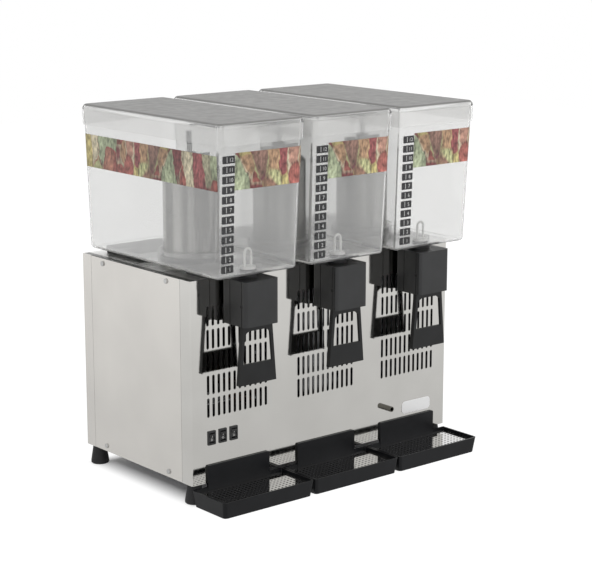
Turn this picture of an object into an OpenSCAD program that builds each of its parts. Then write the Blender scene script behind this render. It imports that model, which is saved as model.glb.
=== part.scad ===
// Counter-top juice dispenser: three clear bowls in a row on one refrigerated steel cabinet.
// The modules work in a frame with Y = 0 on the front panel's face, Z = 0 on the worktop.

/* [Cabinet] */
// Width of the cabinet across its side panels
cabinet_w = 560; // [540:5:620]
// Depth from the front panel's face to the rear panel's face
cabinet_d = 305; // [300:1:340]
// Height of the steel shell, without the feet
cabinet_h = 336; // [326:1:380]
// Thickness of the stainless sheet
sheet = 1.5; // [1:0.1:2]
// Depth of the front panel's returns round the sides
front_return = 27; // [24:1:40]
// Depth of the rear panel's returns round the sides
rear_return = 25; // [24:1:40]
// Depth of the folded lips that carry the deck and the base pan
lip_d = 24; // [20:1:28]
// Height of the flanges on the deck and the base pan
flange_h = 20; // [16:1:30]

/* [Feet] */
// Height of a rubber foot
foot_h = 33; // [25:1:50]
// Diameter of a foot where it meets the worktop
foot_base_dia = 31; // [26:1:40]
// Diameter of a foot where it meets the cabinet
foot_top_dia = 22; // [18:1:24]
// Distance of a foot's centre from the cabinet's side and front
foot_inset = 15; // [13:0.5:18]
// Diameter of the threaded stud in a foot
stud_dia = 6; // [5:0.5:8]

/* [Front panel] */
// Vent slots side by side in one row
slot_count = 12; // [8:1:13]
// Rows of vent slots one above the other
slot_rows = 5; // [3:1:5]
// Width of a vent slot
slot_w = 5; // [3:0.5:6]
// Length of a vent slot
slot_len = 32; // [24:1:34]
// Distance between neighbouring slots
slot_pitch = 10.7; // [9:0.1:11]
// Distance between rows of slots
slot_row_pitch = 37.6; // [36:0.2:38]
// Height of the lowest row's lower ends above the worktop
slot_low_z = 142; // [136:1:150]
// Width of a switch frame
switch_w = 15.5; // [14:0.5:18]
// Height of a switch frame
switch_h = 23.5; // [21:0.5:26]
// Distance between neighbouring switches
switch_pitch = 22.3; // [20:0.1:26]
// Distance from the cabinet's left side to the first switch's middle
switch_inset = 39.5; // [36:0.5:45]
// Height of the switches' middle above the worktop
switch_z = 107.5; // [100:0.5:112]
// Full travel of a rocker in degrees
rocker_travel = 16; // [8:1:20]
// Distance of the drain stub from the cabinet's right side
drain_inset = 141; // [130:1:150]
// Height of the drain stub above the worktop
drain_z = 88; // [80:1:100]
// Outer diameter of the drain stub
drain_dia = 9.5; // [6:0.5:12]
// How far the drain stub stands out of the front panel
drain_reach = 16; // [10:1:25]

/* [Stations] */
// Distance between neighbouring bowls, taps and trays
station_pitch = 187.5; // [185:0.5:200]

/* [Bowl] */
// Width of a bowl at its floor
bowl_floor_w = 160; // [154:1:164]
// Depth of a bowl at its floor
bowl_floor_d = 358; // [350:1:364]
// How far a bowl's floor stands out in front of the front panel
bowl_overhang = 56; // [52:1:60]
// Height of a bowl from its underside to its mouth
bowl_h = 234.5; // [230:0.5:280]
// How much wider a bowl is at its mouth than at the floor on each side
bowl_taper_x = 3; // [2:0.5:4]
// How much further a bowl reaches forward at its mouth than at the floor
bowl_lean = 12; // [8:0.5:14]
// How much further a bowl reaches back at its mouth than at the floor
bowl_taper_y = 8.5; // [4:0.5:10]
// Radius of a bowl's upright corners
bowl_corner = 8; // [7:0.5:12]
// Radius of the bottom edge of a bowl
bowl_round = 6; // [4:0.5:7]
// Wall thickness of a bowl
bowl_wall = 3; // [2.5:0.1:4]
// Floor thickness of a bowl
bowl_floor_t = 4; // [3:0.5:5]
// Height of the rests that hold a bowl above the deck
rest_h = 8.5; // [8:0.5:14]
// Height of the collar round the column inside a bowl
collar_h = 16; // [12:1:20]
// Thickness of that collar
collar_t = 4; // [3:0.5:5]

/* [Lid] */
// Height of a lid above the bowl's mouth
lid_h = 9.3; // [8:0.1:14]
// Radius of a lid's upper edge
lid_edge = 8; // [5:0.5:8]
// Thickness of a lid's top
lid_t = 3.2; // [2.5:0.1:5]
// Thickness of a lid's skirt
skirt_t = 2.4; // [2:0.1:3.5]
// How far the skirt reaches down over the bowl's mouth
skirt_h = 25; // [18:1:32]

/* [Cooling column] */
// Outer diameter of a cooling column
column_dia = 90; // [84:1:94]
// Height of a cooling column above the deck
column_h = 161; // [150:1:170]
// Wall thickness of a cooling column
column_wall = 1.6; // [1.2:0.1:2.5]
// Distance of the columns' axes behind the front panel
column_y = 120; // [118:1:124]
// Thickness of the column's base flange
column_flange_t = 3; // [2:0.5:4]
// Thickness of the rubber seal round a column
seal_t = 4.7; // [4:0.1:6]
// Diameter of the copper tube wound inside a column
coil_tube = 6; // [5:0.5:8]
// Turns of that tube
coil_turns = 6; // [4:1:7]

/* [Stirrer] */
// Diameter of the pin on top of a column that a stirrer turns on
stirrer_pin_dia = 8; // [7:0.5:10]
// Reach of a stirrer's blades from its axis
stirrer_reach = 40; // [34:1:44]
// Height of a stirrer's blades
stirrer_blade_h = 18; // [12:1:22]
// Height of a stirrer from the column's top to the top of its finger knob
stirrer_h = 56; // [50:1:60]
// Diameter of a stirrer's finger knob
stirrer_knob_dia = 9; // [8:0.5:14]
// Diameter of the driving magnet inside a column
magnet_dia = 56; // [50:1:62]

/* [Tap] */
// Width of a tap body
tap_w = 68; // [64:1:72]
// Height of a tap body
tap_h = 73; // [70:1:80]
// How far a tap body stands in front of the front panel
tap_reach = 66; // [64:1:70]
// Gap between a tap body and the front panel
tap_gap = 6; // [4:0.5:8]
// Wall thickness of a tap body
tap_wall = 3; // [2.5:0.1:3.5]
// Radius of a tap body's upright corners
tap_corner = 6; // [4:0.5:8]
// Outer diameter of a bowl's outlet pipe
outlet_dia = 22; // [20:0.5:23]
// Wall thickness of that pipe
outlet_wall = 2; // [1.6:0.1:2.4]
// Distance of the outlet's axis in front of the front panel
outlet_reach = 28; // [26:0.5:29]
// How far the outlet pipe stops above the tap body's lower edge
outlet_short = 3; // [0:0.5:8]

/* [Lever] */
// Width of a lever at its lower edge
lever_w = 75; // [68:1:80]
// Width of a lever where it leaves the tap body
lever_neck_w = 59; // [52:1:60]
// How far a lever hangs below its tap body
lever_drop = 96; // [86:1:104]
// Thickness of a lever's plate
lever_t = 4; // [3:0.5:4.5]
// Height of the solid push plate below the lever's window
lever_push_h = 34; // [28:1:40]
// Width of the bars beside the lever's window
lever_bar_w = 5.5; // [4:0.5:7]
// Height of the bar above the lever's window, below the tap body
lever_top_bar = 9; // [6:0.5:12]
// Depth of the stiffening edges behind a lever
lever_edge_d = 8; // [6:0.5:9]
// Height of the lever's pivot above the tap body's lower edge
pivot_h = 33; // [31:1:34]
// Distance of the lever's pivot in front of the front panel
pivot_reach = 56; // [55:0.5:57]
// Diameter of the lever's pivot pins
pivot_dia = 6; // [5:0.5:7]

/* [Plunger] */
// Diameter of a plunger's stem
stem_dia = 12; // [11:0.5:13]
// Diameter of a plunger's head
plunger_dia = 26; // [25:0.5:30]
// Outer width of the plunger's finger loop
loop_w = 17; // [14:0.5:20]
// Height of the finger loop above the plunger's head
loop_h = 30; // [24:1:36]
// Diameter of the finger loop's bar
loop_bar = 4; // [3:0.5:5]
// Wire diameter of the valve spring
spring_wire = 1.4; // [1:0.1:1.6]
// Turns of the valve spring
spring_turns = 5; // [4:1:6]

/* [Drip tray] */
// How far a tray stands out in front of the front panel
tray_reach = 85; // [78:1:100]
// Height of a tray's rim above the worktop
tray_h = 27; // [24:1:30]
// Draft of a tray's walls on each side
tray_draft = 3.5; // [2:0.5:5]
// Wall thickness of a tray
tray_wall = 2.5; // [2:0.1:3]
// Radius of a tray's upright corners
tray_corner = 6; // [4:0.5:9]
// Width of the upstand at a tray's back
upstand_w = 127; // [110:1:140]
// Height of that upstand's top above the worktop
upstand_z = 63; // [55:1:66]
// Depth of a grid's top below the tray's rim
grid_sink = 5; // [4:0.5:7]
// Diameter of the holes in a grid
grid_hole_dia = 6; // [4:0.5:7]
// Distance between the holes in a grid
grid_hole_pitch = 13; // [12:0.5:18]

/* [Clearances] */
// Visible seam between neighbouring panels
seam = 0.4; // [0.2:0.1:0.8]
// Gap between neighbouring trays
tray_gap = 2; // [1:0.5:4]
// Gap between a piece that lifts out and what it sits in
lift_gap = 0.4; // [0.3:0.1:0.8]
// Radial play of a turning pin in its bore
pin_play = 0.05; // [0.02:0.01:0.1]
// Room between pieces that pass each other
pass_gap = 0.6; // [0.4:0.1:1]

/* [Hidden] */
$fn = 48;
SIDES = ["left", "middle", "right"];
TRIPLES = ["evaporator", "drive_magnet", "stirrer", "bowl", "lid", "tap_body", "lever", "plunger",
           "plunger_seal", "valve_spring", "tray", "grid"];
SINGLES = ["base_pan", "front_panel", "rear_panel", "left_side_panel", "right_side_panel", "top_deck",
           "panel_screws", "rubber_feet", "foot_studs", "compressor", "condenser", "fan_motor", "fan_blade",
           "refrigerant_pipes", "evaporator_coils", "control_box", "switch_frames", "drain_stub",
           "mains_inlet", "stirrer_motors", "bowl_seals"];
ROCKERS = ["rocker_1", "rocker_2", "rocker_3"];

steel = [0.79, 0.78, 0.76];
dark_steel = [0.45, 0.45, 0.46];
black = [0.10, 0.10, 0.11];
rubber = [0.07, 0.07, 0.07];
clear = [0.90, 0.93, 0.94, 0.35];
smoke = [0.62, 0.61, 0.60];
white = [0.95, 0.95, 0.93];
copper = [0.72, 0.45, 0.30];
aluminium = [0.72, 0.73, 0.74];

hull_fn = 32;
skin = 0.01;
through = 1;
hidden_gap = 4;

cabinet_top = foot_h + cabinet_h;
half_w = cabinet_w / 2;
rear_y = cabinet_d - sheet;
deck_z = cabinet_top - sheet;
pan_z = foot_h + sheet;

bowl_z = cabinet_top + rest_h;
bowl_floor_z = bowl_z + bowl_floor_t;
rim_z = bowl_z + bowl_h;
mouth_w = bowl_floor_w + 2 * bowl_taper_x;
bowl_front = -bowl_overhang;
bowl_back = bowl_floor_d - bowl_overhang;
mouth_front = bowl_front - bowl_lean;
mouth_back = bowl_back + bowl_taper_y;
lid_out = lift_gap + skirt_t;
lid_w = mouth_w + 2 * lid_out;
lid_front = mouth_front - lid_out;
lid_back = mouth_back + lid_out;
lid_corner = bowl_corner + lid_out;
lid_top = rim_z + lid_h;
skirt_z = rim_z - skirt_h;

column_r = column_dia / 2;
column_top = cabinet_top + column_h;
seal_r = column_r + seal_t;
collar_r = seal_r + lift_gap;
column_flange_r = collar_r + collar_t;
magnet_t = 12;
magnet_z = column_top - 2 * column_wall - magnet_t;
shaft_r = 4;
shaft_root = 8;
motor_h = 52;
motor_r = 30;
motor_plate_w = 94;
motor_plate_d = 48;
motor_plate_t = 12;

outlet_r = outlet_dia / 2;
outlet_y = -outlet_reach;
stem_r = stem_dia / 2;
tap_top = bowl_z - rest_h + 1;
tap_z = tap_top - tap_h;
tap_front = -tap_reach;
tap_rear = -tap_gap;
outlet_z = tap_z + outlet_short - 8;
neck_r = outlet_r + 6;
tap_roof = 4;
pivot_z = tap_z + pivot_h;
pivot_y = -pivot_reach;
pivot_bar_r = 5;
prong_t = 4;
tongue_w = 5;
tongue_end = outlet_y + stem_r - 2;
tongue_room = 0.3;
prong_x = outlet_r + pass_gap;
lever_z = tap_z - lever_drop;
lever_y = pivot_y + 2;
spring_r = outlet_r + 1.5 + spring_wire / 2;

head_t = 4;
seal_disc_t = 2;
head_z = bowl_floor_z + seal_disc_t;

tray_w = station_pitch - tray_gap;
tray_back = 0;
tray_floor_t = 3;
upstand_t = 3.5;
grid_t = 1.5;
grid_z = tray_h - grid_sink - grid_t;
grid_drop = tray_draft * (tray_h - grid_z) / tray_h;
grid_edge = tray_wall + grid_drop + lift_gap + 0.2;

front_y = -(lid_back - tray_reach) / 2;

// Places children from the working frame into the part's own frame
module in_row() {
    translate([0, front_y, 0])
        children();
}

// Places children at one of the three stations, counted from the left
module at_station(i) {
    translate([(i - 1) * station_pitch, 0, 0])
        children();
}

// Rectangle with round corners, in the middle of X and Y
module rounded(w, d, r) {
    square([w - 2 * r, d], center = true);
    square([w, d - 2 * r], center = true);
    for (sx = [-1, 1], sy = [-1, 1])
        translate([sx * (w / 2 - r), sy * (d / 2 - r)])
            circle(r);
}

// Upright block with round corners between two depths
module block(w, front, back, z, h, r) {
    translate([0, (front + back) / 2, z])
        linear_extrude(h)
            rounded(w, back - front, r);
}

// Thin slice that a tapered shell is stretched over
module slice(w, front, back, r, z) {
    block(w, front, back, z, skin, r, $fn = hull_fn);
}

// Ring or tube with a true bore
module tube(outer_r, inner_r, z, h) {
    translate([0, 0, z])
        difference() {
            cylinder(r = outer_r, h = h);
            translate([0, 0, -through])
                cylinder(r = inner_r, h = h + 2 * through);
        }
}

// Plain round bar along X
module bar_x(r, x0, x1) {
    translate([x0, 0, 0])
        rotate([0, 90, 0])
            cylinder(r = r, h = x1 - x0);
}

// Sheet standing in the XZ plane: a flat outline given thickness towards the back
module upright_sheet(y, t) {
    translate([0, y + t, 0])
        rotate([90, 0, 0])
            linear_extrude(t)
                children();
}

// Mirrored pair of children on the left and right
module both_sides() {
    children();
    mirror([1, 0, 0])
        children();
}

// Repeats children on the axes of the four feet
module at_feet() {
    for (sx = [-1, 1], y = [foot_inset, cabinet_d - foot_inset])
        translate([sx * (half_w - foot_inset), y, 0])
            children();
}

// Pipe with a bead at each bend
module pipe(points, r) {
    for (k = [0 : len(points) - 2]) {
        run = points[k + 1] - points[k];
        translate(points[k])
            rotate([0, acos(run[2] / norm(run)), atan2(run[1], run[0])])
                cylinder(r = r, h = norm(run));
    }
    for (k = [1 : len(points) - 2])
        translate(points[k])
            sphere(r = r + pipe_bead);
}

// One unbroken wire wound as an upright helix from z0 to z1
module helix(mean_r, wire_r, z0, z1, turns, steps = 16, sides = 6) {
    rings = turns * steps;
    rise = (z1 - z0 - 2 * wire_r) / rings;
    lean = atan2(rise * steps, 2 * PI * mean_r);
    points = [for (k = [0 : rings]) for (s = [0 : sides - 1])
        let (a = 360 * k / steps, b = 360 * s / sides, out = mean_r + wire_r * cos(b),
             up = wire_r * sin(b) * cos(lean), back = wire_r * sin(b) * sin(lean))
        [out * cos(a) + back * sin(a), out * sin(a) - back * cos(a), z0 + wire_r + rise * k + up]];
    walls = [for (k = [0 : rings - 1]) for (s = [0 : sides - 1])
        let (n = (s + 1) % sides, p = k * sides, q = p + sides)
        each [[p + s, q + s, q + n], [p + s, q + n, p + n]]];
    start_cap = [for (s = [1 : sides - 2]) [0, s, s + 1]];
    end_cap = [for (s = [1 : sides - 2]) [rings * sides, rings * sides + s + 1, rings * sides + s]];
    polyhedron(points, concat(walls, start_cap, end_cap), convexity = 10);
}

// Cabinet

// Flat outline of the front panel with its vents and cut-outs, X to the right and Y up
module front_outline() {
    difference() {
        translate([-half_w, foot_h])
            square([cabinet_w, cabinet_h]);
        for (i = [-1 : 1], row = [0 : slot_rows - 1], k = [0 : slot_count - 1])
            translate([i * station_pitch + (k - (slot_count - 1) / 2) * slot_pitch,
                       slot_low_z + row * slot_row_pitch + slot_len / 2])
                rounded_slot();
        for (k = [0 : 2])
            translate([switch_x(k), switch_z])
                square([switch_w - 2, switch_h - 2], center = true);
        translate([half_w - drain_inset, drain_z])
            circle(drain_dia / 2);
    }
}

module rounded_slot() {
    square([slot_w, slot_len - slot_w], center = true);
    for (end = [-1, 1])
        translate([0, end * (slot_len - slot_w) / 2])
            circle(slot_w / 2);
}

function switch_x(k) = -half_w + switch_inset + k * switch_pitch;

// Folded lip from y0 to y1 with clearance holes for the feet's studs
module lip(y0, y1, z) {
    difference() {
        translate([-half_w + sheet, y0, z])
            cube([cabinet_w - 2 * sheet, y1 - y0, sheet]);
        at_feet()
            translate([0, 0, z - through])
                cylinder(d = stud_dia, h = sheet + 2 * through);
    }
}

module front_panel() {
    color(steel) {
        upright_sheet(0, sheet)
            front_outline();
        both_sides()
            translate([half_w - sheet, sheet, foot_h])
                cube([sheet, front_return - sheet, cabinet_h]);
        lip(sheet, lip_d, foot_h);
        lip(sheet, lip_d, deck_z - sheet);
    }
}

rear_vent_rows = 5;
rear_vent_w = 150;
rear_vent_h = 6;
rear_vent_pitch = 18;
rear_vent_z = 262;
inlet_side = 90;
inlet_x = inlet_side - half_w;
inlet_z = 84;
inlet_w = 28;
inlet_h = 22;

module rear_outline() {
    difference() {
        translate([-half_w, foot_h])
            square([cabinet_w, cabinet_h]);
        for (sx = [-1, 1], row = [0 : rear_vent_rows - 1])
            translate([sx * rear_vent_w * 0.62, rear_vent_z + row * rear_vent_pitch])
                square([rear_vent_w, rear_vent_h], center = true);
        translate([inlet_x, inlet_z - 20])
            square([inlet_w, inlet_h], center = true);
    }
}

module rear_panel() {
    color(steel) {
        upright_sheet(rear_y, sheet)
            rear_outline();
        both_sides()
            translate([half_w - sheet, cabinet_d - rear_return, foot_h])
                cube([sheet, rear_return - sheet, cabinet_h]);
        lip(cabinet_d - lip_d, rear_y, foot_h);
        lip(cabinet_d - lip_d, rear_y, deck_z - sheet);
    }
}

// Places where a side panel is screwed on, as distance behind the front panel and height
screw_ys = [64, cabinet_d - 60];
screw_zs = [foot_h + 10, cabinet_top - 9];
screw_head_r = 4.2;
screw_head_t = 2.2;
screw_r = 2;
screw_len = 9;

module screw_bores(r) {
    for (y = screw_ys, z = screw_zs)
        translate([0, y, z])
            bar_x(r, half_w - screw_len - through, half_w + through);
}

module side_panel() {
    color(steel)
        difference() {
            translate([half_w - sheet, front_return + seam, foot_h + seam])
                cube([sheet, cabinet_d - front_return - rear_return - 2 * seam, cabinet_h - 2 * seam]);
            screw_bores(screw_r);
        }
}

module right_side_panel() {
    side_panel();
}

module left_side_panel() {
    mirror([1, 0, 0])
        side_panel();
}

// Side flange that the side panels are screwed to
module side_flange(z) {
    difference() {
        translate([half_w - 2 * sheet, front_return, z])
            cube([sheet, cabinet_d - front_return - rear_return, flange_h]);
        screw_bores(screw_r);
    }
}

module top_deck() {
    color(steel) {
        difference() {
            translate([-half_w + sheet, sheet, deck_z])
                cube([cabinet_w - 2 * sheet, rear_y - sheet, sheet]);
            for (i = [-1 : 1])
                translate([i * station_pitch, column_y, deck_z - through])
                    cylinder(r = column_r - 3 * column_wall, h = sheet + 2 * through);
        }
        both_sides()
            side_flange(deck_z - flange_h);
    }
}

module base_pan() {
    color(dark_steel) {
        difference() {
            translate([-half_w + sheet, sheet, pan_z])
                cube([cabinet_w - 2 * sheet, rear_y - sheet, sheet]);
            at_feet()
                translate([0, 0, pan_z - through])
                    cylinder(d = stud_dia, h = sheet + 2 * through);
        }
        both_sides()
            side_flange(pan_z + sheet);
    }
}

module panel_screws() {
    color(dark_steel)
        both_sides()
            for (y = screw_ys, z = screw_zs)
                translate([0, y, z]) {
                    bar_x(screw_r, half_w - screw_len, half_w);
                    bar_x(screw_head_r, half_w, half_w + screw_head_t);
                }
}

stud_sink = 12;
stud_end = 3;

module rubber_feet() {
    color(rubber)
        at_feet()
            rotate_extrude()
                polygon([[stud_dia / 2, foot_h - stud_sink], [stud_dia / 2, foot_h], [foot_top_dia / 2, foot_h],
                         [foot_base_dia / 2, 5], [foot_base_dia / 2, 1.5], [foot_base_dia / 2 - 1.5, 0],
                         [0, 0], [0, foot_h - stud_sink]]);
}

nut_t = 5;
nut_r = 5.6;

module foot_studs() {
    color(aluminium)
        at_feet() {
            translate([0, 0, foot_h - stud_sink])
                cylinder(d = stud_dia, h = stud_sink + 2 * sheet + nut_t + stud_end);
            translate([0, 0, pan_z + sheet])
                cylinder(r = nut_r, h = nut_t, $fn = 6);
        }
}

// Front controls

switch_body_d = 20;
rocker_w = switch_w - 5;
rocker_h = switch_h - 7;
rocker_y = 4;

// Curved key that fills the opening of a switch frame at any angle
module rocker(k) {
    color(black)
        translate([switch_x(k), rocker_y, switch_z])
            rotate([rocker_travel / 2, 0, 0])
                rotate([90, 0, 90])
                    linear_extrude(rocker_w, center = true)
                        intersection() {
                            circle(rocker_h / 2);
                            polygon([[3, -rocker_h], [3, rocker_h], [-9, rocker_h],
                                     [-4.6, 0], [-9, -rocker_h]]);
                        }
}

module switch_frames() {
    color(black)
        for (k = [0 : 2])
            translate([switch_x(k), 0, switch_z])
                difference() {
                    union() {
                        upright_sheet(-1.6, 1.6)
                            rounded(switch_w, switch_h, 1);
                        upright_sheet(0, switch_body_d)
                            square([switch_w - 2, switch_h - 2], center = true);
                    }
                    upright_sheet(-1.6 - through, 1.6 + through + 14)
                        square([rocker_w + pass_gap, rocker_h + pass_gap], center = true);
                }
}

module drain_stub() {
    color(steel)
        translate([half_w - drain_inset, 0, drain_z])
            rotate([-90, 0, 0])
                difference() {
                    union() {
                        translate([0, 0, -drain_reach])
                            cylinder(d = drain_dia, h = drain_reach + 20);
                        translate([0, 0, sheet])
                            cylinder(d = drain_dia + 6, h = 3, $fn = 6);
                    }
                    translate([0, 0, -drain_reach - through])
                        cylinder(d = drain_dia - 2.4, h = drain_reach + 20);
                }
}

module mains_inlet() {
    color(black)
        translate([inlet_x, 0, inlet_z - 20])
            difference() {
                union() {
                    upright_sheet(cabinet_d, 1.8)
                        rounded(inlet_w + 20, inlet_h + 8, 3);
                    upright_sheet(cabinet_d - 22, 22)
                        square([inlet_w, inlet_h], center = true);
                }
                upright_sheet(cabinet_d - 16, 18)
                    rounded(inlet_w - 4, inlet_h - 4, 2);
                for (pin = [-1 : 1])
                    translate([pin * 7, 0, 0])
                        upright_sheet(cabinet_d - 20, 5)
                            square([2, 5], center = true);
            }
}

// Cooling machinery inside the cabinet

compressor_side = 115;
compressor_back = 110;
compressor_x = compressor_side - half_w;
compressor_y = cabinet_d - compressor_back;
compressor_r = 70;
compressor_h = 150;
machine_z = pan_z + sheet;
mount_x = 55;
mount_y = 42;
mount_r = 9;
mount_h = 14;
mount_plate_t = 4;

module compressor() {
    color(black)
        translate([compressor_x, compressor_y, machine_z]) {
            rotate_extrude()
                polygon([[0, 12], [compressor_r - 18, 12], [compressor_r - 4, 24], [compressor_r, 40],
                         [compressor_r, 84], [compressor_r + 3, 86], [compressor_r + 3, 92], [compressor_r, 94],
                         [compressor_r - 4, compressor_h - 34], [compressor_r - 24, compressor_h - 10],
                         [20, compressor_h], [0, compressor_h]]);
            for (sx = [-1, 1], sy = [-1, 1])
                translate([sx * mount_x, sy * mount_y, 0])
                    cylinder(r = mount_r, h = mount_h);
            translate([-mount_x - mount_r, -mount_y - mount_r, mount_h - mount_plate_t / 2])
                cube([2 * (mount_x + mount_r), 2 * (mount_y + mount_r), mount_plate_t]);
        }
}

condenser_left = 152;
condenser_right = 28;
condenser_x0 = condenser_left - half_w;
condenser_x1 = half_w - condenser_right;
condenser_y = 14;
condenser_d = 34;
condenser_z0 = 128;
condenser_z1 = 322;
condenser_fins = 38;
fin_t = 1;
condenser_passes = 5;
condenser_tail = 10;
condenser_nose = 4;

// Height of one pass of the condenser's tube
function pass_z(k) = condenser_z0 + (k + 0.5) * (condenser_z1 - condenser_z0) / condenser_passes;

module condenser() {
    color(aluminium) {
        for (k = [0 : condenser_fins - 1])
            translate([condenser_x0 + k * (condenser_x1 - condenser_x0 - fin_t) / (condenser_fins - 1),
                       condenser_y, condenser_z0])
                cube([fin_t, condenser_d, condenser_z1 - condenser_z0]);
        for (k = [0 : condenser_passes - 1])
            translate([0, condenser_y + condenser_d / 2, pass_z(k)])
                bar_x(4, condenser_x0 - condenser_tail, condenser_x1 + condenser_nose);
        for (x = [condenser_x0 + 4, condenser_x1 - 16])
            translate([x, condenser_y + 4, machine_z])
                cube([12, condenser_d - 8, condenser_z0 - machine_z + 4]);
    }
}

fan_x = (condenser_x0 + condenser_x1) / 2;
fan_z = 214;
fan_r = 78;
fan_y = 62;
fan_d = 20;
fan_motor_r = 34;
fan_motor_d = 46;
fan_blades = 5;
fan_hub_r = 20;
fan_shaft_r = 3;
fan_leg_w = 52;
fan_leg_d = 22;
fan_plate_w = 80;
fan_plate_t = 3;

module fan_motor() {
    color(dark_steel)
        translate([fan_x, 0, 0]) {
            translate([0, fan_y + fan_d + hidden_gap, fan_z])
                rotate([-90, 0, 0]) {
                    cylinder(r = fan_motor_r, h = fan_motor_d);
                    translate([0, 0, -hidden_gap - fan_d])
                        cylinder(r = fan_shaft_r, h = fan_d + hidden_gap);
                }
            translate([-fan_leg_w / 2, fan_y + fan_d + hidden_gap + (fan_motor_d - fan_leg_d) / 2, machine_z])
                cube([fan_leg_w, fan_leg_d, fan_z - machine_z]);
            translate([-fan_plate_w / 2, fan_y + fan_d + hidden_gap, machine_z])
                cube([fan_plate_w, fan_motor_d, fan_plate_t]);
        }
}

module fan_blade() {
    color(aluminium)
        translate([fan_x, fan_y, fan_z])
            rotate([-90, 0, 0])
                difference() {
                    union() {
                        cylinder(r = fan_hub_r, h = fan_d);
                        for (k = [0 : fan_blades - 1])
                            rotate([0, 0, k * 360 / fan_blades])
                                translate([fan_hub_r - 4, 0, fan_d / 2])
                                    rotate([24, 0, 0])
                                        translate([0, -21, -0.8])
                                            cube([fan_r - fan_hub_r + 2, 42, 1.6]);
                    }
                    translate([0, 0, -through])
                        cylinder(r = fan_shaft_r + pin_play, h = fan_d + 2 * through);
                }
}

drier_x = -40;
drier_y = cabinet_d - 43;
drier_z = 90;
pipe_r = 3;
pipe_bead = 0.6;
port_x = 30;
port_z = 70;
port_gap = 0.3;
port_y = sqrt(pow(compressor_r, 2) - pow(port_x - pipe_r, 2)) + port_gap;
inflow_x = condenser_x1 + condenser_nose + pipe_r + port_gap;
outflow_x = condenser_x0 - condenser_tail - pipe_r - port_gap;
riser_off = 34;
riser_end = cabinet_top + 6;
manifold_y = cabinet_d - 50;
manifold_z = deck_z - 32;

module refrigerant_pipes() {
    color(copper) {
        pipe([[compressor_x + port_x, compressor_y + port_y, machine_z + port_z],
              [compressor_x + port_x, manifold_y + 14, machine_z + port_z],
              [inflow_x, manifold_y + 14, machine_z + port_z],
              [inflow_x, condenser_y + condenser_d / 2, machine_z + port_z],
              [inflow_x, condenser_y + condenser_d / 2, pass_z(condenser_passes - 1) + pipe_r]], pipe_r);
        pipe([[outflow_x, condenser_y + condenser_d / 2 - pipe_r, pass_z(0)],
              [outflow_x, condenser_y + 60, pass_z(0)],
              [drier_x, condenser_y + 60, drier_z],
              [drier_x, drier_y - 44, drier_z]], pipe_r);
        translate([drier_x, drier_y - 46, drier_z])
            rotate([90, 0, 0])
                cylinder(r = 11, h = 92);
        pipe([[-station_pitch - 30, manifold_y, manifold_z], [station_pitch, manifold_y, manifold_z]], pipe_r);
        for (i = [-1 : 1])
            translate([i * station_pitch, 0, 0])
                pipe([[0, manifold_y, manifold_z],
                      [0, column_y + riser_off, manifold_z],
                      [0, column_y + riser_off, riser_end]], pipe_r);
    }
}

column_coil_z = cabinet_top + 14;
coil_r = column_r - column_wall - coil_tube / 2 - hidden_gap / 4;

module evaporator_coils() {
    color(copper)
        for (i = [-1 : 1])
            translate([i * station_pitch, column_y, 0])
                helix(coil_r, coil_tube / 2, column_coil_z, magnet_z - 14, coil_turns, 20, 6);
}

control_y = 26;
control_side = 16;
control_d = 56;
control_h = 120;
control_wall = 2;

module control_box() {
    color(dark_steel)
        difference() {
            translate([switch_x(0) - control_side, control_y, machine_z])
                cube([switch_x(2) - switch_x(0) + 2 * control_side, control_d, control_h]);
            translate([switch_x(0) - control_side + control_wall, control_y - through, machine_z + control_wall])
                cube([switch_x(2) - switch_x(0) + 2 * (control_side - control_wall),
                      control_d - control_wall + through, control_h - 2 * control_wall]);
        }
}

module stirrer_motors() {
    color(dark_steel)
        for (i = [-1 : 1])
            translate([i * station_pitch, column_y, 0]) {
                translate([0, 0, deck_z - sheet - motor_h])
                    cylinder(r = motor_r, h = motor_h - motor_plate_t);
                difference() {
                    translate([-motor_plate_w / 2, -motor_plate_d / 2, deck_z - sheet - motor_plate_t])
                        cube([motor_plate_w, motor_plate_d, motor_plate_t + sheet]);
                    translate([0, 0, deck_z - sheet - shaft_root])
                        cylinder(r = shaft_r + pass_gap, h = shaft_root + sheet + through);
                }
            }
}

// Bowls and what stands in them

module evaporator() {
    color(steel)
        translate([0, column_y, cabinet_top])
            rotate_extrude()
                polygon([[column_flange_r, 0], [column_flange_r, column_flange_t], [column_r, column_flange_t],
                         [column_r, column_h - 6], [column_r - 6, column_h], [stirrer_pin_dia / 2, column_h],
                         [stirrer_pin_dia / 2, column_h + 16], [0, column_h + 16],
                         [0, column_h - column_wall], [column_r - 6, column_h - column_wall],
                         [column_r - column_wall, column_h - 6], [column_r - column_wall, 0]]);
}

module drive_magnet() {
    color(dark_steel)
        translate([0, column_y, 0]) {
            translate([0, 0, deck_z - sheet - shaft_root])
                cylinder(r = shaft_r, h = magnet_z - deck_z + sheet + shaft_root + 1);
            translate([0, 0, magnet_z])
                cylinder(d = magnet_dia, h = magnet_t);
        }
}

stirrer_hub_r = 11;
stirrer_foot = 1;

module stirrer() {
    color([0.30, 0.31, 0.33])
        translate([0, column_y, column_top + stirrer_foot])
            difference() {
                union() {
                    cylinder(r = stirrer_hub_r, h = stirrer_blade_h + 4);
                    cylinder(d = stirrer_knob_dia, h = stirrer_h);
                    cylinder(r = magnet_dia / 2, h = 4);
                    for (turn = [0, 180])
                        rotate([0, 0, turn])
                            translate([0, -1.5, 0])
                                cube([stirrer_reach, 3, stirrer_blade_h]);
                }
                translate([0, 0, -through])
                    cylinder(r = stirrer_pin_dia / 2 + pin_play, h = 16 + 2 * through);
            }
}

// The moulded rests and the seal of each bowl are one rubber gasket
rest_w = 118;
front_rest = [4, column_y - 60];
rear_rest = [column_y + 70, bowl_back - 15];

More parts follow.
